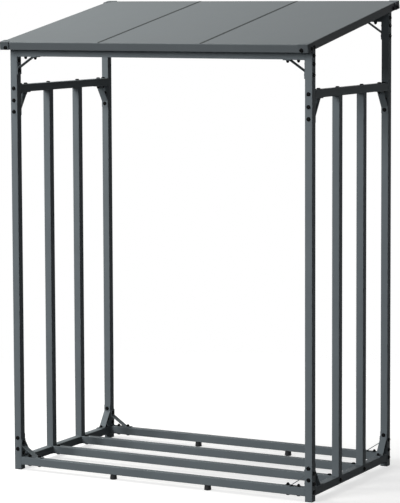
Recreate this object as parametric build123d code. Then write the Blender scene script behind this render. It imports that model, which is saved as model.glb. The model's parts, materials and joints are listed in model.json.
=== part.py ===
from build123d import *
from math import atan2, cos, degrees, tan
import os

# Log store: an open steel rack of square tube under a sloping roof of three folded sheets.
# Millimetres. +X runs to the right along the front, +Y from the front to the rear, +Z up.
# The origin lies on the ground, in the middle of the plan.

# Frame of square tube
FRAME_WIDTH = 1300.0  # over the outer faces of the posts
FRAME_DEPTH = 735.0  # over the outer faces of the posts
TUBE = 30.0  # side of every tube of the frame
TUBE_WALL = 1.0
TUBE_CORNER = 2.0  # outer corner radius of the tube
GROUND_GAP = 20.0  # air under the base frame
SIDE_RAIL_TOP = 1525.0  # height of the upper side rails' top face
SLAT_SETBACK = 255.0  # from the outer face of a post to the middle of the nearest slat
BEAM_DROP = 37.0  # from the roof's top face down to a top beam

# Roof of folded sheet
FRONT_EDGE_HEIGHT = 1692.0  # top of the roof at its front edge
REAR_EDGE_HEIGHT = 1845.0  # top of the roof at its rear edge
ROOF_FRONT_OVERHANG = 58.0  # beyond the front faces of the posts
ROOF_REAR_OVERHANG = 46.5  # beyond the rear faces of the posts
ROOF_SIDE_OVERHANG = 8.5  # beyond the outer faces of the posts
ROOF_PANELS = ("left", "middle", "right")
SHEET = 1.0  # thickness of the roof sheet
SHEET_BEND = 4.0  # outer radius of the sheet's folds
LIP_DEPTH = 30.0  # depth of the folded rim
SEAM_DEPTH = 25.0  # depth of the flanges where two panels meet
PANEL_CORNER = 5.0  # plan radius of the roof's four corners

# Caps on the roof's corners
CAP_ARM = 38.0  # length of a cap along each edge of the roof
CAP_WALL = 4.3  # thickness of a cap's upright walls
CAP_TOP = 1.2  # thickness of the band that a cap lays on the roof
CAP_BAND = 9.0  # width of that band
CAP_CORNER = 7.0  # outer plan radius of a cap
CAP_EDGE = 0.8  # chamfer round the cap's top

# Corner brackets, each an angle closed by a bent strip
BRACKET_WIDTH = 28.0
BRACKET_LONG_LEG = 90.0
BRACKET_SHORT_LEG = 70.0
BRACKET_ANGLE = 1.5  # thickness of the angle
BRACKET_STRIP = 1.5  # thickness of the bent strip
STRIP_LONG_FOOT = 65.0  # from the corner to the strip's foot on the long leg
STRIP_SHORT_FOOT = 44.0  # from the corner to the strip's foot on the short leg

# End plugs of the posts, and round feet under the base frame
PLUG_FLANGE = 2.5  # thickness of the plug's flange, which is what the post stands on
PLUG_DEPTH = 18.0  # from the ground to the top of the plug inside the post
PLUG_WALL = 2.0
FOOT_DIAMETER = 28.0
FOOT_TOP_DIAMETER = 24.0
FOOT_EDGE = 1.5  # chamfer round the foot's base
FEET_SPACING = 413.0  # between the two feet of a beam

# Worked out from the sizes above
half_width = FRAME_WIDTH / 2
half_depth = FRAME_DEPTH / 2
post_x = half_width - TUBE / 2
post_y = half_depth - TUBE / 2
inner_x = half_width - TUBE
inner_y = half_depth - TUBE
base_z = GROUND_GAP + TUBE / 2
side_rail_z = SIDE_RAIL_TOP - TUBE / 2
slat_y = half_depth - SLAT_SETBACK
roof_front_y = -half_depth - ROOF_FRONT_OVERHANG
roof_rear_y = half_depth + ROOF_REAR_OVERHANG
roof_rise = REAR_EDGE_HEIGHT - FRONT_EDGE_HEIGHT
slope = atan2(roof_rise, roof_rear_y - roof_front_y)
roof_length = (roof_rear_y - roof_front_y) / cos(slope)
roof_half_width = half_width + ROOF_SIDE_OVERHANG
panel_width = 2 * roof_half_width / len(ROOF_PANELS)
SIDES = {"left": -1, "right": 1}
ENDS = {"front": -1, "rear": 1}

# The roof's own frame: x as the part's, y up the slope from the front edge, z out of the sheet
roof_frame = Location((0, roof_front_y, FRONT_EDGE_HEIGHT), (degrees(slope), 0, 0))


def roof_top(y):
    """Height of the roof's top face above a place y."""
    return FRONT_EDGE_HEIGHT + (y - roof_front_y) * tan(slope)


front_beam_z = roof_top(-half_depth) - BEAM_DROP - TUBE / 2
rear_beam_z = roof_top(inner_y) - BEAM_DROP - TUBE / 2


def block(x0, x1, y0, y1, z0, z1):
    """A plain block between two corners."""
    return Pos(x0, y0, z0) * Box(x1 - x0, y1 - y0, z1 - z0, align=Align.MIN)


def tube(length):
    """A square tube standing on the origin."""
    bore = TUBE - 2 * TUBE_WALL
    section = RectangleRounded(TUBE, TUBE, TUBE_CORNER) - Rectangle(bore, bore)
    return extrude(section, length)


def tube_along_x(x0, x1, y, z):
    return Pos(x0, y, z) * Rot(0, 90, 0) * tube(x1 - x0)


def tube_along_y(y0, y1, x, z):
    return Pos(x, y0, z) * Rot(-90, 0, 0) * tube(y1 - y0)


def post(x, y):
    """A post from its end plug up to the underside of the rafter, cut to the roof's slope."""
    upright = Pos(x, y, PLUG_FLANGE) * tube(roof_top(y + TUBE))
    above = block(-FRAME_WIDTH, FRAME_WIDTH, -FRAME_DEPTH, 2 * FRAME_DEPTH,
                  -SHEET - TUBE, REAR_EDGE_HEIGHT)
    return upright - roof_frame * above


def rafter(x):
    """The sloping tube under one side of the roof, from the front fold to the rear fold."""
    run = tube_along_y(SHEET_BEND, roof_length - SHEET_BEND, x, -SHEET - TUBE / 2)
    return roof_frame * run


def bent_strip(points, thickness):
    """Outline of a flat strip bent at points, with its thickness on the left of the path."""
    path = [Vector(*point) for point in points]
    runs = [(b - a).normalized() for a, b in zip(path, path[1:])]
    lefts = [Vector(-run.Y, run.X) for run in runs]
    offset_path = [path[0] + lefts[0] * thickness]
    for corner, before, after in zip(path[1:-1], lefts, lefts[1:]):
        bisector = before + after
        offset_path.append(corner + bisector * (2 * thickness / bisector.dot(bisector)))
    offset_path.append(path[-1] + lefts[-1] * thickness)
    return make_face(Polyline(*path, *reversed(offset_path), close=True))


def corner_bracket():
    """An angle with its long leg on +X and its short leg on +Y, closed by a bent strip."""
    angle = bent_strip([(BRACKET_LONG_LEG, 0), (0, 0), (0, BRACKET_SHORT_LEG)], -BRACKET_ANGLE)
    strip = bent_strip([(BRACKET_LONG_LEG, BRACKET_ANGLE), (STRIP_LONG_FOOT, BRACKET_ANGLE),
                        (BRACKET_ANGLE, STRIP_SHORT_FOOT), (BRACKET_ANGLE, BRACKET_SHORT_LEG)],
                       -BRACKET_STRIP)
    return extrude(angle + strip, BRACKET_WIDTH / 2, both=True)


def bracket_at(corner, long_leg, short_leg):
    """The bracket with its corner at a point and its legs along two directions."""
    across = Vector(*long_leg).cross(Vector(*short_leg))
    return Plane(corner, x_dir=long_leg, z_dir=across) * corner_bracket()


def rounded_block(x0, x1, sides, inset):
    """A block as deep as the roof's rim, smaller by inset on its five closed sides.

    sides lists the sides, -1 or 1, whose upright edges are corners of the roof and are rounded.
    """
    body = block(x0 + inset, x1 - inset, inset, roof_length - inset, -LIP_DEPTH - inset, -inset)
    uprights = body.edges().filter_by(Axis.Z).sort_by(Axis.X)
    corners = [edge for side in sides for edge in (uprights[:2] if side < 0 else uprights[2:])]
    return fillet(corners, PANEL_CORNER - inset) if corners else body


def panel_block(x0, x1, sides, inset):
    """The space inside a roof panel, with its top edges rounded as the sheet's folds."""
    body = rounded_block(x0, x1, sides, inset)
    return fillet(body.faces().sort_by(Axis.Z)[-1].edges(), SHEET_BEND - inset)


def roof_panel(index):
    """One roof panel: a shallow tray, open below, with shorter flanges along its seams."""
    x0 = -roof_half_width + index * panel_width
    x1 = x0 + panel_width
    last = len(ROOF_PANELS) - 1
    sides = [-1] * (index == 0) + [1] * (index == last)
    panel = panel_block(x0, x1, sides, 0) - panel_block(x0, x1, sides, SHEET)
    relief = Box(4 * SHEET, roof_length - 2 * SHEET_BEND, LIP_DEPTH - SEAM_DEPTH)
    for seam_x in [x0] * (index > 0) + [x1] * (index < last):
        panel -= Pos(seam_x, roof_length / 2, -(LIP_DEPTH + SEAM_DEPTH) / 2) * relief
    return roof_frame * panel


def roof_cap(side, end):
    """The cap that wraps one corner of the roof, seated on the sheet's outer faces."""
    corner_y = 0 if end < 0 else roof_length
    reach = CAP_ARM + CAP_WALL
    middle = Pos(side * (roof_half_width + CAP_WALL - reach / 2),
                 corner_y + end * (CAP_WALL - reach / 2), (CAP_TOP - LIP_DEPTH) / 2)
    cap = middle * Box(reach, reach, LIP_DEPTH + CAP_TOP)
    uprights = cap.edges().filter_by(Axis.Z).sort_by(Axis.X)
    outer = (uprights[:2] if side < 0 else uprights[2:]).sort_by(Axis.Y)
    cap = fillet(outer[0 if end < 0 else -1], CAP_CORNER)
    cap = chamfer(cap.faces().sort_by(Axis.Z)[-1].edges(), CAP_EDGE)
    hollow = rounded_block(-roof_half_width, roof_half_width, [-1, 1], 0)
    window = Pos(side * (roof_half_width - CAP_ARM), corner_y - end * CAP_ARM, 0) * \
        Cylinder(CAP_ARM - CAP_BAND, 4 * CAP_TOP)
    return roof_frame * (cap - hollow - window)


def post_plug(x, y):
    """The plug in a post's lower end: a flange on the ground and a hollow square spigot."""
    bore = TUBE - 2 * TUBE_WALL
    flange = extrude(RectangleRounded(TUBE, TUBE, TUBE_CORNER), PLUG_FLANGE)
    spigot = Rectangle(bore, bore) - Rectangle(bore - 2 * PLUG_WALL, bore - 2 * PLUG_WALL)
    return Pos(x, y, 0) * (flange + extrude(spigot, PLUG_DEPTH))


def beam_foot(x, y):
    """A round foot between the ground and the underside of a base beam."""
    profile = Polyline((0, 0), (FOOT_DIAMETER / 2, 0), (FOOT_TOP_DIAMETER / 2, GROUND_GAP),
                       (0, GROUND_GAP), close=True)
    section = make_face(profile)
    section = chamfer(section.vertices().sort_by(Axis.X)[-1], FOOT_EDGE)
    return Pos(x, y, 0) * revolve(Plane.XZ * section, Axis.Z)


def build_parts():
    """Every node of the log store by name."""
    parts = {}
    for end_name, end in ENDS.items():
        for side_name, side in SIDES.items():
            parts[f"{end_name}_{side_name}_post"] = post(side * post_x, end * post_y)
            parts[f"{end_name}_{side_name}_roof_cap"] = roof_cap(side, end)
        top_z = front_beam_z if end < 0 else rear_beam_z
        for level, z in (("top", top_z), ("bottom", base_z)):
            parts[f"{end_name}_{level}_beam"] = tube_along_x(-inner_x, inner_x, end * post_y, z)
            away = -1 if level == "top" else 1
            for side_name, side in SIDES.items():
                parts[f"{end_name}_{level}_beam_{side_name}_bracket"] = bracket_at(
                    (side * inner_x, end * post_y, z + away * TUBE / 2),
                    (-side, 0, 0), (0, 0, away))
        parts[f"{end_name}_floor_bearer"] = tube_along_x(-inner_x, inner_x, end * slat_y, base_z)
        feet = [beam_foot(side * FEET_SPACING / 2, end * post_y) for side in SIDES.values()]
        plugs = [post_plug(side * post_x, end * post_y) for side in SIDES.values()]
        parts[f"{end_name}_beam_feet"] = Compound(children=feet + plugs)
    for side_name, side in SIDES.items():
        for level, z in (("top", side_rail_z), ("bottom", base_z)):
            parts[f"{side_name}_{level}_rail"] = tube_along_y(-inner_y, inner_y, side * post_x, z)
            away = -1 if level == "top" else 1
            for end_name, end in ENDS.items():
                parts[f"{side_name}_{level}_rail_{end_name}_bracket"] = bracket_at(
                    (side * post_x, end * inner_y, z + away * TUBE / 2),
                    (0, 0, away), (0, -end, 0))
        slat_length = SIDE_RAIL_TOP - TUBE - (GROUND_GAP + TUBE)
        for end_name, end in ENDS.items():
            parts[f"{side_name}_{end_name}_slat"] = \
                Pos(side * post_x, end * slat_y, GROUND_GAP + TUBE) * tube(slat_length)
        parts[f"{side_name}_rafter"] = rafter(side * post_x)
    for index, name in enumerate(ROOF_PANELS):
        parts[f"{name}_roof_panel"] = roof_panel(index)
    return parts


os.makedirs("parts", exist_ok=True)
for node, shape in build_parts().items():
    export_step(shape, f"parts/{node}.step")
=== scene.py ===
import json
from math import cos, pi, radians, sin, sqrt

import bpy
from bpy.props import FloatProperty, FloatVectorProperty, PointerProperty
from mathutils import Matrix, Vector


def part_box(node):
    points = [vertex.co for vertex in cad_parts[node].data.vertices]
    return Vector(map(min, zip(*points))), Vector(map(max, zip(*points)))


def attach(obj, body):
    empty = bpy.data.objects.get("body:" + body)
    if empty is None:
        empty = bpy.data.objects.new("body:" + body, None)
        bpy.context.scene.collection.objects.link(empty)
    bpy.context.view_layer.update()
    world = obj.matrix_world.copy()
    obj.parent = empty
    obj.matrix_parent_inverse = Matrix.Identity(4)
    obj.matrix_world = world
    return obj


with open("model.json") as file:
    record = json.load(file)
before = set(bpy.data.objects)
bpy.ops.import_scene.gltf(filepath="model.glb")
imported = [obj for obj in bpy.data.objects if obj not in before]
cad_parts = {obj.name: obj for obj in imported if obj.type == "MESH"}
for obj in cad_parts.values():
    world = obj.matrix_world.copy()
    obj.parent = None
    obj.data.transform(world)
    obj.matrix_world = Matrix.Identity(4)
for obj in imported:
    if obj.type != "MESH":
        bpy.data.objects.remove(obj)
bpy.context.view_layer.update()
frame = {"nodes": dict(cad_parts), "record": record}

# Log store: finishes, bolts, nuts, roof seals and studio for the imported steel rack.
# Metres. +X runs to the right along the open front, +Y from the front to the rear, +Z up.

bl_info = {
    "name": "Log store finishes",
    "version": (1, 0, 0),
    "blender": (4, 5, 0),
    "location": "3D View > Sidebar > Log store",
    "description": "Coatings, bolts, nuts, roof seals and studio for a steel log store",
    "category": "Object",
}

MM = 0.001
SIDES = {"left": -1, "right": 1}
ENDS = {"front": -1, "rear": 1}

# Places of the bolts, from the tubes' faces
BRACKET_ANGLE = 1.5 * MM  # thickness of a bracket's angle under a nut
BRACKET_FOOT = 3 * MM  # thickness of the angle with the strip's foot on it
LONG_LEG_BOLTS = ((32 * MM, BRACKET_ANGLE), (76 * MM, BRACKET_FOOT))  # from the bracket's corner
SHORT_LEG_BOLTS = ((16 * MM, BRACKET_ANGLE), (56 * MM, BRACKET_FOOT))
SLAT_FOOT_BOLT = 16 * MM  # from the side rail to the bolt on a floor bearer

# Places of the screws on the roof's folded rim, from the corner and from the roof's top
ROOF_SCREW_DEPTH = 21 * MM
CAP_SCREW = 25 * MM
RIM_SCREW = 54 * MM

# Seals in the grooves between the roof's panels, their dark colour painted shade for the grooves
GROOVE_RADIUS = 4 * MM  # outer radius of the sheet's folds
GROOVE_SIDES = 96  # facets round a fold
SEAL_GAP = 0.02 * MM  # from the seal to the sheet
SEAL_ROUNDING = 0.8  # of the seal's height

# Forms of the heads and nuts
HEAD_SIDES = 24
HEAD_ROUNDING = 0.8  # of the head's height
SOCKET_DEPTH = 0.6  # of the head's height
NUT_HEXAGON = 0.45  # of the nut's height
NUT_CHAMFER = 0.6 * MM
DOME_SIDES = 20
DOME_RADIUS = 0.46  # of the nut's width
DOME_ROUNDING = 0.96  # of the dome's radius
SMOOTH_ANGLE = radians(35)  # the widest angle between faces that shade as one

SAME_LEVEL = 0.01 * MM  # heights that differ by less are one level
FACING = 0.9  # least cosine between a face's normal and the way that it faces

# Coatings
NOISE_RANGE = {"From Min": 0.3, "From Max": 0.7}  # where nearly all of a noise's values lie
TONE_DRIFT = 0.05  # share of the colour, darker or lighter
GLOSS_DRIFT = 0.03  # of roughness, either way
GRAIN_STRENGTH = 0.5

# Studio floor
FLOOR_RADIUS = 7
FLOOR_SIDES = 96
FLOOR_DROP = 0.5 * MM  # keeps the floor clear of the feet's undersides
FADE_START, FADE_END = 1.2, 3.0  # from the middle, where the floor turns into the surroundings
FLOOR_TONE = "F4F4F4"  # as the camera, gloss and glass show it
FLOOR_BOUNCE_TONE = "303030"  # as light meets it: dark, so that little light comes up from below
FLOOR_GLOW = 1.25  # strength that lifts the lit floor to white
FLOOR_GLOW_SHARE = 0.55  # share of that glow in what is seen, the rest being lit and shaded


def linear(hex_colour):
    """An sRGB hex colour as linear red, green and blue."""
    channels = [int(hex_colour[i:i + 2], 16) / 255 for i in (0, 2, 4)]
    return tuple(c / 12.92 if c <= 0.04045 else ((c + 0.055) / 1.055) ** 2.4 for c in channels)


def colour(name, description, hex_colour):
    """A colour setting."""
    return FloatVectorProperty(name=name, description=description, subtype="COLOR", size=3,
                               min=0, max=1, default=linear(hex_colour))


def length(name, description, value):
    """A length setting in metres."""
    return FloatProperty(name=name, description=description, unit="LENGTH", min=0, default=value)


def power(name, description, watts):
    """A lamp's power setting in watts."""
    return FloatProperty(name=name, description=description, subtype="POWER", unit="POWER",
                         min=0, default=watts)


class LogStoreFinishes(bpy.types.PropertyGroup):
    """Colours of the coatings and mouldings."""
    tube_colour: colour("Tube coating", "Powder coat of the tubes and brackets", "62696D")
    # Darker than the tube coating of the same powder: painted shade for the dim front rim of the
    # roof
    roof_coat_and_shade_colour: colour("Roof coating", "Powder coat of the roof sheets", "505558")
    cap_colour: colour("Roof caps", "Moulded plastic of the roof's corner caps", "4A4F52")
    foot_colour: colour("Feet and plugs", "Moulded plastic of the feet and end plugs", "16181A")
    bolt_colour: colour("Bolts", "Black zinc plate of the bolts and nuts", "060708")
    # Dark as painted shade of the grooves between the roof's panels
    seal_and_groove_shade_colour: colour("Roof seals", "Sealant between the roof's panels", "2A2D2E")


class LogStoreFixings(bpy.types.PropertyGroup):
    """Sizes of the bolts, nuts and seals."""
    head_diameter: length("Head diameter", "Across a bolt's button head", 16 * MM)
    head_height: length("Head height", "Height of a bolt's button head", 5 * MM)
    socket_width: length("Socket width", "Across the flats of the hexagon socket", 5 * MM)
    nut_width: length("Nut width", "Across the flats of a dome nut", 12 * MM)
    nut_height: length("Nut height", "Height of a dome nut over its dome", 10 * MM)
    seal_width: length("Seal width", "Width of the sealant smoothed over a seam", 12 * MM)
    seal_height: length("Seal height", "Height of the sealant over the roof", 0.5 * MM)


class LogStoreStudio(bpy.types.PropertyGroup):
    """Strengths of the studio's lamps."""
    top_power: power("Top lamp", "Power of the lamp over the roof", 250)
    left_power: power("Left lamp", "Power of the tall lamp at the front left", 123)
    right_power: power("Right lamp", "Power of the low lamp at the front right", 97)
    rear_power: power("Rear lamp", "Power of the low lamp at the rear left", 260)
    fill: FloatProperty(name="Fill", description="Strength of the even light from all round",
                        min=0, max=1, default=0.02)


def select_only(*objects):
    """Deselects everything, then selects these objects, the first one active."""
    bpy.ops.object.select_all(action="DESELECT")
    for item in objects:
        item.select_set(True)
    bpy.context.view_layer.objects.active = objects[0]


def in_edit_mode(item, select, operation):
    """Selects the edges whose ends select() accepts, and runs operation() on them."""
    select_only(item)
    bpy.ops.object.mode_set(mode="EDIT")
    bpy.ops.mesh.select_all(action="DESELECT")
    bpy.ops.object.mode_set(mode="OBJECT")
    for edge in item.data.edges:
        ends = [item.data.vertices[i].co for i in edge.vertices]
        edge.select = all(select(end) for end in ends)
    bpy.ops.object.mode_set(mode="EDIT")
    bpy.ops.mesh.select_mode(type="EDGE")
    operation()
    bpy.ops.object.mode_set(mode="OBJECT")


def cut(item, tool, operation):
    """Joins or cuts a closed solid with another, and removes the tool."""
    select_only(item)
    modifier = item.modifiers.new("cut", "BOOLEAN")
    modifier.operation = operation
    modifier.solver = "EXACT"
    modifier.object = tool
    bpy.ops.object.modifier_apply(modifier=modifier.name)
    bpy.data.objects.remove(tool)


def prism(sides, radius, depth, base):
    """A closed prism or cylinder on the Z axis, standing at a height."""
    bpy.ops.object.select_all(action="DESELECT")
    bpy.ops.mesh.primitive_cylinder_add(vertices=sides, radius=radius, depth=depth,
                                        location=(0, 0, base + depth / 2))
    item = bpy.context.object
    bpy.ops.object.transform_apply(location=True, rotation=True, scale=True)
    return item


def slab(width, depth, low, high):
    """A closed block, so wide in X and deep in Y, between two heights."""
    bpy.ops.object.select_all(action="DESELECT")
    bpy.ops.mesh.primitive_cube_add(size=1, location=(0, 0, (low + high) / 2),
                                    scale=(width, depth, high - low))
    item = bpy.context.object
    bpy.ops.object.transform_apply(location=True, rotation=True, scale=True)
    return item


def round_top(item, top, offset, segments):
    """Bevels the rim of a solid's top face."""
    def bevel():
        bpy.ops.mesh.bevel(offset=offset, segments=segments, profile=0.5, affect="EDGES")
    in_edit_mode(item, lambda point: abs(point.z - top) < SAME_LEVEL, bevel)


def button_head(sizes, socket=True):
    """A button head seated on the XY plane, with a hexagon socket in its dome if wanted."""
    head = prism(HEAD_SIDES, sizes.head_diameter / 2, sizes.head_height, 0)
    round_top(head, sizes.head_height, sizes.head_height * HEAD_ROUNDING, 4)
    if socket:
        depth = sizes.head_height * SOCKET_DEPTH
        hexagon = prism(6, sizes.socket_width / sqrt(3), 2 * depth, sizes.head_height - depth)
        cut(head, hexagon, "DIFFERENCE")
    select_only(head)
    bpy.ops.object.shade_smooth_by_angle(angle=SMOOTH_ANGLE)
    return head


def barrel_end(sizes):
    """The plain low dome of a barrel nut, seated on the XY plane."""
    return button_head(sizes, socket=False)


def dome_nut(sizes):
    """A dome nut seated on the XY plane: a hexagon with chamfered corners under a dome."""
    hexagon_height = sizes.nut_height * NUT_HEXAGON
    nut = prism(6, sizes.nut_width / sqrt(3), hexagon_height, 0)
    round_top(nut, hexagon_height, NUT_CHAMFER, 2)
    radius = sizes.nut_width * DOME_RADIUS
    dome = prism(DOME_SIDES, radius, sizes.nut_height, 0)
    round_top(dome, sizes.nut_height, radius * DOME_ROUNDING, 6)
    cut(nut, dome, "UNION")
    select_only(nut)
    bpy.ops.object.shade_smooth_by_angle(angle=SMOOTH_ANGLE)
    return nut


def copies(pattern, name, places, material):
    """Copies a pattern to each seat point and direction, and joins the copies into one piece."""
    made = []
    for seat, direction in places:
        select_only(pattern)
        bpy.ops.object.duplicate(linked=False)
        copy = bpy.context.object
        copy.location = seat
        copy.rotation_euler = Vector((0, 0, 1)).rotation_difference(Vector(direction)).to_euler()
        made.append(copy)
    select_only(*made)
    bpy.ops.object.transform_apply(location=True, rotation=True, scale=True)
    bpy.ops.object.join()
    piece = bpy.context.object
    piece.name = name
    piece.data.name = name
    piece.data.materials.clear()
    piece.data.materials.append(material)
    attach(piece, "root")
    bpy.data.objects.remove(pattern)


def fasten(context, name, maker, places):
    """Makes one piece of all a group's bolt heads or nuts."""
    if not places:
        raise RuntimeError("no places for " + name)
    plate = bpy.data.materials["Black zinc plated steel"]
    copies(maker(context.scene.log_store_fixings), name, places, plate)


def add_node(tree, kind, settings=None, sockets=None):
    """Adds a node, sets its settings, and fills or links its sockets."""
    node = tree.nodes.new(kind)
    for key, value in (settings or {}).items():
        setattr(node, key, value)
    for key, value in (sockets or {}).items():
        if isinstance(value, bpy.types.NodeSocket):
            tree.links.new(value, node.inputs[key])
        else:
            node.inputs[key].default_value = value
    return node


def blank_material(name):
    """An empty material of this name, with no nodes in it."""
    material = bpy.data.materials.new(name)
    material.use_nodes = True
    material.node_tree.nodes.clear()
    return material, material.node_tree


def coated(name, base, drift_mm, grain_mm, grain_height_mm, roughness, specular):
    """A coated or moulded surface with a fine grain and a slow drift of tone and gloss."""
    material, tree = blank_material(name)
    place = add_node(tree, "ShaderNodeTexCoord").outputs["Object"]
    drift = add_node(tree, "ShaderNodeTexNoise", sockets={
        "Vector": place, "Scale": 1 / (drift_mm * MM), "Detail": 3.0, "Roughness": 0.55})
    grain = add_node(tree, "ShaderNodeTexNoise", sockets={
        "Vector": place, "Scale": 1 / (grain_mm * MM), "Detail": 2.0, "Roughness": 0.5})
    shade = add_node(tree, "ShaderNodeMapRange", sockets={
        "Value": drift.outputs["Fac"], **NOISE_RANGE, "To Min": 0.0, "To Max": 1.0})
    tone = add_node(tree, "ShaderNodeMix", {"data_type": "RGBA"}, {
        "Factor": shade.outputs["Result"],
        "A": (*[c * (1 - TONE_DRIFT) for c in base], 1),
        "B": (*[min(1, c * (1 + TONE_DRIFT)) for c in base], 1)})
    gloss = add_node(tree, "ShaderNodeMapRange", sockets={
        "Value": drift.outputs["Fac"], **NOISE_RANGE,
        "To Min": roughness - GLOSS_DRIFT, "To Max": roughness + GLOSS_DRIFT})
    bump = add_node(tree, "ShaderNodeBump", sockets={
        "Height": grain.outputs["Fac"], "Strength": GRAIN_STRENGTH,
        "Distance": grain_height_mm * MM})
    shader = add_node(tree, "ShaderNodeBsdfPrincipled", sockets={
        "Base Color": tone.outputs["Result"], "Roughness": gloss.outputs["Result"],
        "Specular IOR Level": specular, "Normal": bump.outputs["Normal"]})
    add_node(tree, "ShaderNodeOutputMaterial", sockets={"Surface": shader.outputs["BSDF"]})
    return material


class LOGSTORE_OT_finishes(bpy.types.Operator):
    """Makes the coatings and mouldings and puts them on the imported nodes"""
    bl_idname = "logstore.finishes"
    bl_label = "Finishes"

    def execute(self, context):
        colours = context.scene.log_store_finishes
        # Polyester powder coat, sprayed and baked: matt, with a fine orange peel
        tube = coated("Powder coated tube", colours.tube_colour, 160, 1.6, 0.03, 0.55, 0.05)
        # The same powder on flat sheet: smoother, so it shows a little more sheen. Its colour is
        # set darker than the tubes' as painted shade for the dim front rim of the roof
        roof = coated("Powder coated sheet with painted shade", colours.roof_coat_and_shade_colour, 260, 2.2, 0.02, 0.5, 0.05)
        # The same powder on the brackets' narrow strip, where the tone drifts over a shorter way
        strip = coated("Powder coated strip", colours.tube_colour, 90, 1.6, 0.03, 0.55, 0.05)
        # Injection-moulded polypropylene with a spark-eroded grain: duller than the coated steel
        cap = coated("Moulded cap plastic", colours.cap_colour, 60, 0.9, 0.05, 0.6, 0.06)
        foot = coated("Moulded foot plastic", colours.foot_colour, 60, 0.9, 0.05, 0.55, 0.2)
        # Black zinc plate, barrelled: near black, with a dull shine on the domes
        coated("Black zinc plated steel", colours.bolt_colour, 12, 0.7, 0.02, 0.5, 0.05)
        # Skinned-over sealant, matt: its dark colour is painted shade along each seam of the roof,
        # standing in for the shade in the groove
        coated("Polyurethane sealant with painted groove shade", colours.seal_and_groove_shade_colour, 40, 3, 0.05, 0.7, 0.05)
        by_slot = {"frame_steel": tube, "roof_sheet": roof, "bracket_steel": strip,
                   "cap_plastic": cap, "foot_plastic": foot}
        slots = {row["node"]: row["material_slot"] for row in frame["record"]["subparts"]}
        for name, node in frame["nodes"].items():
            material = by_slot[slots[name]]
            if not node.material_slots:
                node.data.materials.append(material)
            for slot in node.material_slots:
                slot.material = material
        return {"FINISHED"}


def corners():
    """Each corner's names and signs, with the box of its post."""
    for end_name, end in ENDS.items():
        for side_name, side in SIDES.items():
            low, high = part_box(f"{end_name}_{side_name}_post")
            yield end_name, end, side_name, side, Vector(low), Vector(high)


def face(low, high, axis, sign):
    """The place of a box's face on one axis."""
    return high[axis] if sign > 0 else low[axis]


class LOGSTORE_OT_post_bolts(bpy.types.Operator):
    """Bolts through the posts into the beams, the rails and the brackets' legs"""
    bl_idname = "logstore.post_bolts"
    bl_label = "Post bolts"

    def execute(self, context):
        side_heads, side_nuts, face_heads, face_nuts = [], [], [], []
        for end_name, end, side_name, side, low, high in corners():
            middle = (low + high) / 2
            for level, away in (("top", -1), ("bottom", 1)):
                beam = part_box(f"{end_name}_{level}_beam")
                beam_middle = (beam[0][2] + beam[1][2]) / 2
                edge = face(*beam, 2, away)
                outer, inner = face(low, high, 0, side), face(low, high, 0, -side)
                side_heads.append(((outer, middle.y, beam_middle), (side, 0, 0)))
                for reach, seat in SHORT_LEG_BOLTS:
                    z = edge + away * reach
                    side_heads.append(((outer, middle.y, z), (side, 0, 0)))
                    side_nuts.append(((inner - side * seat, middle.y, z), (-side, 0, 0)))
                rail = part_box(f"{side_name}_{level}_rail")
                edge = face(*rail, 2, away)
                outer, inner = face(low, high, 1, end), face(low, high, 1, -end)
                if level == "top":
                    rail_middle = (rail[0][2] + rail[1][2]) / 2
                    face_heads.append(((middle.x, outer, rail_middle), (0, end, 0)))
                for reach, seat in LONG_LEG_BOLTS:
                    z = edge + away * reach
                    face_heads.append(((middle.x, outer, z), (0, end, 0)))
                    face_nuts.append(((middle.x, inner - end * seat, z), (0, -end, 0)))
        fasten(context, "post_side_bolt_heads", button_head, side_heads)
        fasten(context, "post_side_bolt_nuts", barrel_end, side_nuts)
        fasten(context, "post_face_bolt_heads", button_head, face_heads)
        fasten(context, "post_face_bolt_nuts", barrel_end, face_nuts)
        return {"FINISHED"}


class LOGSTORE_OT_beam_bolts(bpy.types.Operator):
    """Upright bolts through the beams into the brackets' long legs"""
    bl_idname = "logstore.beam_bolts"
    bl_label = "Beam bolts"

    def execute(self, context):
        heads, nuts = [], []
        for end_name in ENDS:
            for level, away in (("top", -1), ("bottom", 1)):
                low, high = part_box(f"{end_name}_{level}_beam")
                y = (low[1] + high[1]) / 2
                for side in SIDES.values():
                    for reach, seat in LONG_LEG_BOLTS:
                        x = face(low, high, 0, side) - side * reach
                        heads.append(((x, y, face(low, high, 2, -away)), (0, 0, -away)))
                        nuts.append(((x, y, face(low, high, 2, away) + away * seat), (0, 0, away)))
        fasten(context, "beam_bolt_heads", button_head, heads)
        fasten(context, "beam_bolt_nuts", dome_nut, nuts)
        return {"FINISHED"}


class LOGSTORE_OT_rail_bolts(bpy.types.Operator):
    """Upright bolts through the side rails into the brackets, the slats and the bearers"""
    bl_idname = "logstore.rail_bolts"
    bl_label = "Rail bolts"

    def execute(self, context):
        heads, nuts, bearer_heads = [], [], []
        for side_name, side in SIDES.items():
            for level, away in (("top", -1), ("bottom", 1)):
                low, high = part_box(f"{side_name}_{level}_rail")
                x = (low[0] + high[0]) / 2
                for end_name, end in ENDS.items():
                    for reach, seat in SHORT_LEG_BOLTS:
                        y = face(low, high, 1, end) - end * reach
                        heads.append(((x, y, face(low, high, 2, -away)), (0, 0, -away)))
                        nuts.append(((x, y, face(low, high, 2, away) + away * seat), (0, 0, away)))
                    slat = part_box(f"{side_name}_{end_name}_slat")
                    y = (slat[0][1] + slat[1][1]) / 2
                    heads.append(((x, y, face(low, high, 2, -away)), (0, 0, -away)))
                    if level == "bottom":
                        middle = (low[2] + high[2]) / 2
                        bearer_heads.append(((face(low, high, 0, side), y, middle), (side, 0, 0)))
                        foot = face(low, high, 0, -side) - side * SLAT_FOOT_BOLT
                        for z, up in ((high[2], 1), (low[2], -1)):
                            bearer_heads.append(((foot, y, z), (0, 0, up)))
        fasten(context, "rail_bolt_heads", button_head, heads)
        fasten(context, "rail_bolt_nuts", dome_nut, nuts)
        fasten(context, "bearer_bolt_heads", button_head, bearer_heads)
        return {"FINISHED"}


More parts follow.
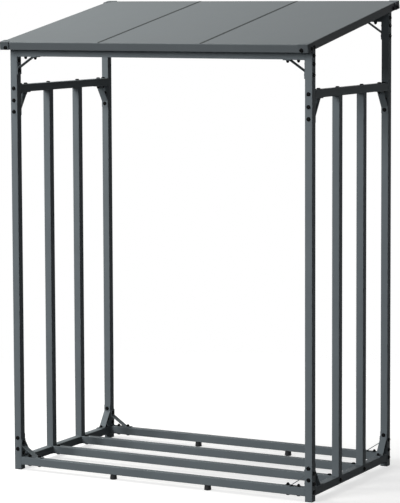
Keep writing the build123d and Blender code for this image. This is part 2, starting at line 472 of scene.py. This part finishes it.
def largest_face(name, towards):
    """The middle and outward direction of a node's largest face that faces roughly one way."""
    node = frame["nodes"][name]
    faces = [face for face in node.data.polygons if face.normal.dot(towards) > FACING]
    if not faces:
        raise RuntimeError("no face of " + name + " faces that way")
    best = max(faces, key=lambda face: face.area)
    return node.matrix_world @ best.center, best.normal.normalized()


def roof_frame():
    """The roof's front and rear top edges at X 0, and the directions out of it and up its slope."""
    top, out = largest_face("middle_roof_panel", Vector((0, 0, 1)))
    run = Vector((0, out.z, -out.y))
    edges = {}
    for end_name, end in ENDS.items():
        rim, _ = largest_face("middle_roof_panel", Vector((0, end, 0)))
        edges[end_name] = top + run * run.dot(rim - top)
        edges[end_name].x = 0
    return edges, out, run


class LOGSTORE_OT_roof_screws(bpy.types.Operator):
    """Screws through the roof's folded rim and its caps, near the corners"""
    bl_idname = "logstore.roof_screws"
    bl_label = "Roof screws"

    def execute(self, context):
        edges, out, run = roof_frame()
        places = []
        for end_name, end in ENDS.items():
            for side_name, side in SIDES.items():
                sheet = abs(face(*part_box(side_name + "_roof_panel"), 0, side))
                cap = abs(face(*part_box(f"{end_name}_{side_name}_roof_cap"), 0, side))
                across = Vector((side, 0, 0))
                level = edges[end_name] - out * ROOF_SCREW_DEPTH
                rim = level + across * (sheet - CAP_SCREW) + run * (end * (cap - sheet))
                places.append((rim, run * end))
                for inset, reach in ((CAP_SCREW, cap), (RIM_SCREW, sheet)):
                    places.append((level + across * reach - run * (end * inset), across))
        fasten(context, "roof_screw_heads", button_head, places)
        return {"FINISHED"}


class LOGSTORE_OT_roof_seals(bpy.types.Operator):
    """Sealant in the grooves between the roof's panels, dark as painted shade of the grooves"""
    bl_idname = "logstore.roof_seals"
    bl_label = "Roof seals"

    def execute(self, context):
        edges, out, run = roof_frame()
        sizes = context.scene.log_store_fixings
        run_length = (edges["rear"] - edges["front"]).length - 2 * GROOVE_RADIUS
        filler = slab(2 * (GROOVE_RADIUS - SEAL_GAP), run_length,
                      -GROOVE_RADIUS, sizes.seal_height / 2)
        for side in SIDES.values():
            bpy.ops.object.select_all(action="DESELECT")
            bpy.ops.mesh.primitive_cylinder_add(
                vertices=GROOVE_SIDES, radius=GROOVE_RADIUS + SEAL_GAP, depth=2 * run_length,
                location=(side * GROOVE_RADIUS, 0, -GROOVE_RADIUS), rotation=(pi / 2, 0, 0))
            cut(filler, bpy.context.object, "DIFFERENCE")
        seal = slab(sizes.seal_width, run_length, SEAL_GAP, sizes.seal_height)
        round_top(seal, sizes.seal_height, sizes.seal_height * SEAL_ROUNDING, 3)
        cut(seal, filler, "UNION")
        middle = (edges["front"] + edges["rear"]) / 2
        seams = [face(*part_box("middle_roof_panel"), 0, side) for side in SIDES.values()]
        places = [((x, middle.y, middle.z), out) for x in seams]
        # The seals' dark colour is painted shade, standing in for the shade in the grooves
        sealant = bpy.data.materials["Polyurethane sealant with painted groove shade"]
        copies(seal, "roof_seals", places, sealant)
        return {"FINISHED"}


def soft_lamp(name, place, aim, size, watts, tint="FFFFFF", spread=180):
    """A soft lamp, so wide and so high, that shines from a place towards a point.

    The spread is the width of its beam in degrees, as a grid over the lamp sets it.
    """
    data = bpy.data.lights.new(name, "AREA")
    data.shape = "RECTANGLE"
    data.size, data.size_y = size
    data.energy = watts
    data.color = linear(tint)
    data.spread = radians(spread)
    lamp = bpy.data.objects.new(name, data)
    lamp.location = place
    lamp.rotation_euler = (Vector(aim) - Vector(place)).to_track_quat("-Z", "Y").to_euler()
    lamp.visible_camera = False
    bpy.context.collection.objects.link(lamp)
    return lamp


class LOGSTORE_OT_stage(bpy.types.Operator):
    """Pale floor, white surroundings, soft lamps and the camera"""
    bl_idname = "logstore.stage"
    bl_label = "Stage"

    def execute(self, context):
        studio = context.scene.log_store_studio
        self.floor()
        self.surroundings(studio.fill)
        roof, middle = (0, 0, 1.7), (0, 0, 0.9)
        soft_lamp("top_lamp", (-1.8, -0.3, 4.8), roof, (2.4, 2.4), studio.top_power,
                  tint="FFFDF7")
        # Its beam is kept off the floor, which would send the light up into the base
        soft_lamp("left_lamp", (-3.1, -7.77, 4.21), roof, (3, 4.2), studio.left_power,
                  spread=70)
        soft_lamp("right_lamp", (3.06, -8.39, 2), middle, (3, 3), studio.right_power)
        # Lights the rear for views from there. In gloss it would line the tubes' edges with light
        rear = soft_lamp("rear_lamp", (-3.0, 7.0, 0.9), middle, (3, 1.6), studio.rear_power)
        rear.visible_glossy = False
        self.camera(context)
        context.scene.view_settings.view_transform = "Standard"
        return {"FINISHED"}

    def seen(self, tree):
        """1 where a ray comes from the camera or from gloss or glass, 0 elsewhere."""
        path = add_node(tree, "ShaderNodeLightPath")
        gloss = add_node(tree, "ShaderNodeMath", {"operation": "ADD", "use_clamp": True})
        glass = add_node(tree, "ShaderNodeMath", {"operation": "ADD", "use_clamp": True})
        tree.links.new(path.outputs["Is Camera Ray"], gloss.inputs[0])
        tree.links.new(path.outputs["Is Glossy Ray"], gloss.inputs[1])
        tree.links.new(gloss.outputs["Value"], glass.inputs[0])
        tree.links.new(path.outputs["Is Transmission Ray"], glass.inputs[1])
        return glass.outputs["Value"]

    def mix(self, tree, factor, first, second):
        """A mix of two shaders."""
        mixed = add_node(tree, "ShaderNodeMixShader", sockets={"Fac": factor})
        tree.links.new(first, mixed.inputs[1])
        tree.links.new(second, mixed.inputs[2])
        return mixed

    def floor(self):
        """A pale matt floor that fades into the white surroundings."""
        bpy.ops.object.select_all(action="DESELECT")
        bpy.ops.mesh.primitive_circle_add(vertices=FLOOR_SIDES, radius=FLOOR_RADIUS,
                                          fill_type="NGON", location=(0, 0, -FLOOR_DROP))
        floor = bpy.context.object
        floor.name = "studio_floor"
        material, tree = blank_material("Pale studio floor")
        place = add_node(tree, "ShaderNodeTexCoord").outputs["Object"]
        reach = add_node(tree, "ShaderNodeVectorMath", {"operation": "LENGTH"}, {"Vector": place})
        fade = add_node(tree, "ShaderNodeMapRange", {"interpolation_type": "SMOOTHSTEP"}, {
            "Value": reach.outputs["Value"], "From Min": FADE_START, "From Max": FADE_END})
        seen = self.seen(tree)
        tone = add_node(tree, "ShaderNodeMix", {"data_type": "RGBA"}, {
            "Factor": seen, "A": (*linear(FLOOR_BOUNCE_TONE), 1), "B": (*linear(FLOOR_TONE), 1)})
        matt = add_node(tree, "ShaderNodeBsdfDiffuse", sockets={"Color": tone.outputs["Result"]})
        glow = add_node(tree, "ShaderNodeEmission", sockets={"Strength": FLOOR_GLOW})
        share = add_node(tree, "ShaderNodeMath", {"operation": "MULTIPLY"})
        tree.links.new(seen, share.inputs[0])
        share.inputs[1].default_value = FLOOR_GLOW_SHARE
        lit = self.mix(tree, share.outputs["Value"], matt.outputs["BSDF"], glow.outputs["Emission"])
        clear = add_node(tree, "ShaderNodeBsdfTransparent")
        mixed = self.mix(tree, fade.outputs["Result"], lit.outputs["Shader"], clear.outputs["BSDF"])
        add_node(tree, "ShaderNodeOutputMaterial", sockets={"Surface": mixed.outputs["Shader"]})
        floor.data.materials.append(material)

    def surroundings(self, fill):
        """White where seen, and an even low light elsewhere."""
        world = bpy.data.worlds.new("Studio surroundings")
        world.use_nodes = True
        tree = world.node_tree
        tree.nodes.clear()
        colour_white = (*linear("FFFFFF"), 1)
        even = add_node(tree, "ShaderNodeBackground", sockets={
            "Color": colour_white, "Strength": fill})
        white = add_node(tree, "ShaderNodeBackground", sockets={
            "Color": colour_white, "Strength": 1.0})
        mixed = self.mix(tree, self.seen(tree), even.outputs["Background"],
                         white.outputs["Background"])
        add_node(tree, "ShaderNodeOutputWorld", sockets={"Surface": mixed.outputs["Shader"]})
        bpy.context.scene.world = world

    def camera(self, context):
        """The camera for a picture 400 wide and 503 high, turned by angles in radians."""
        place = Vector((4.08610, -7.73466, 1.88704))
        yaw, pitch, roll = 0.486840, -0.087294, -0.004067
        forward = Vector((-sin(yaw) * cos(pitch), cos(yaw) * cos(pitch), sin(pitch)))
        level = Vector((cos(yaw), sin(yaw), 0))
        upright = level.cross(forward)
        right = level * cos(roll) + upright * sin(roll)
        up = upright * cos(roll) - level * sin(roll)
        data = bpy.data.cameras.new("camera")
        data.sensor_width = 36
        data.lens = 159.72
        data.shift_y = -0.13
        data.clip_end = 100
        camera = bpy.data.objects.new("camera", data)
        turn = Matrix((right, up, -forward)).transposed().to_4x4()
        camera.matrix_world = Matrix.Translation(place) @ turn
        context.collection.objects.link(camera)
        context.scene.camera = camera


OPERATORS = (LOGSTORE_OT_finishes, LOGSTORE_OT_post_bolts, LOGSTORE_OT_beam_bolts,
             LOGSTORE_OT_rail_bolts, LOGSTORE_OT_roof_screws, LOGSTORE_OT_roof_seals,
             LOGSTORE_OT_stage)


class LOGSTORE_PT_panel(bpy.types.Panel):
    """Sizes, colours and steps of the log store"""
    bl_idname = "LOGSTORE_PT_panel"
    bl_label = "Log store"
    bl_space_type = "VIEW_3D"
    bl_region_type = "UI"
    bl_category = "Log store"

    def draw(self, context):
        for group in (context.scene.log_store_finishes, context.scene.log_store_fixings,
                      context.scene.log_store_studio):
            box = self.layout.box()
            for name in group.__annotations__:
                box.prop(group, name)
        for operator in OPERATORS:
            self.layout.operator(operator.bl_idname)


CLASSES = (LogStoreFinishes, LogStoreFixings, LogStoreStudio, *OPERATORS, LOGSTORE_PT_panel)


def register():
    for item in CLASSES:
        bpy.utils.register_class(item)
    scene = bpy.types.Scene
    scene.log_store_finishes = PointerProperty(type=LogStoreFinishes)
    scene.log_store_fixings = PointerProperty(type=LogStoreFixings)
    scene.log_store_studio = PointerProperty(type=LogStoreStudio)


def unregister():
    scene = bpy.types.Scene
    del scene.log_store_finishes, scene.log_store_fixings, scene.log_store_studio
    for item in reversed(CLASSES):
        bpy.utils.unregister_class(item)


def main():
    register()
    bpy.ops.logstore.finishes()
    bpy.ops.logstore.post_bolts()
    bpy.ops.logstore.beam_bolts()
    bpy.ops.logstore.rail_bolts()
    bpy.ops.logstore.roof_screws()
    bpy.ops.logstore.roof_seals()
    bpy.ops.logstore.stage()


if __name__ == "__main__":
    main()
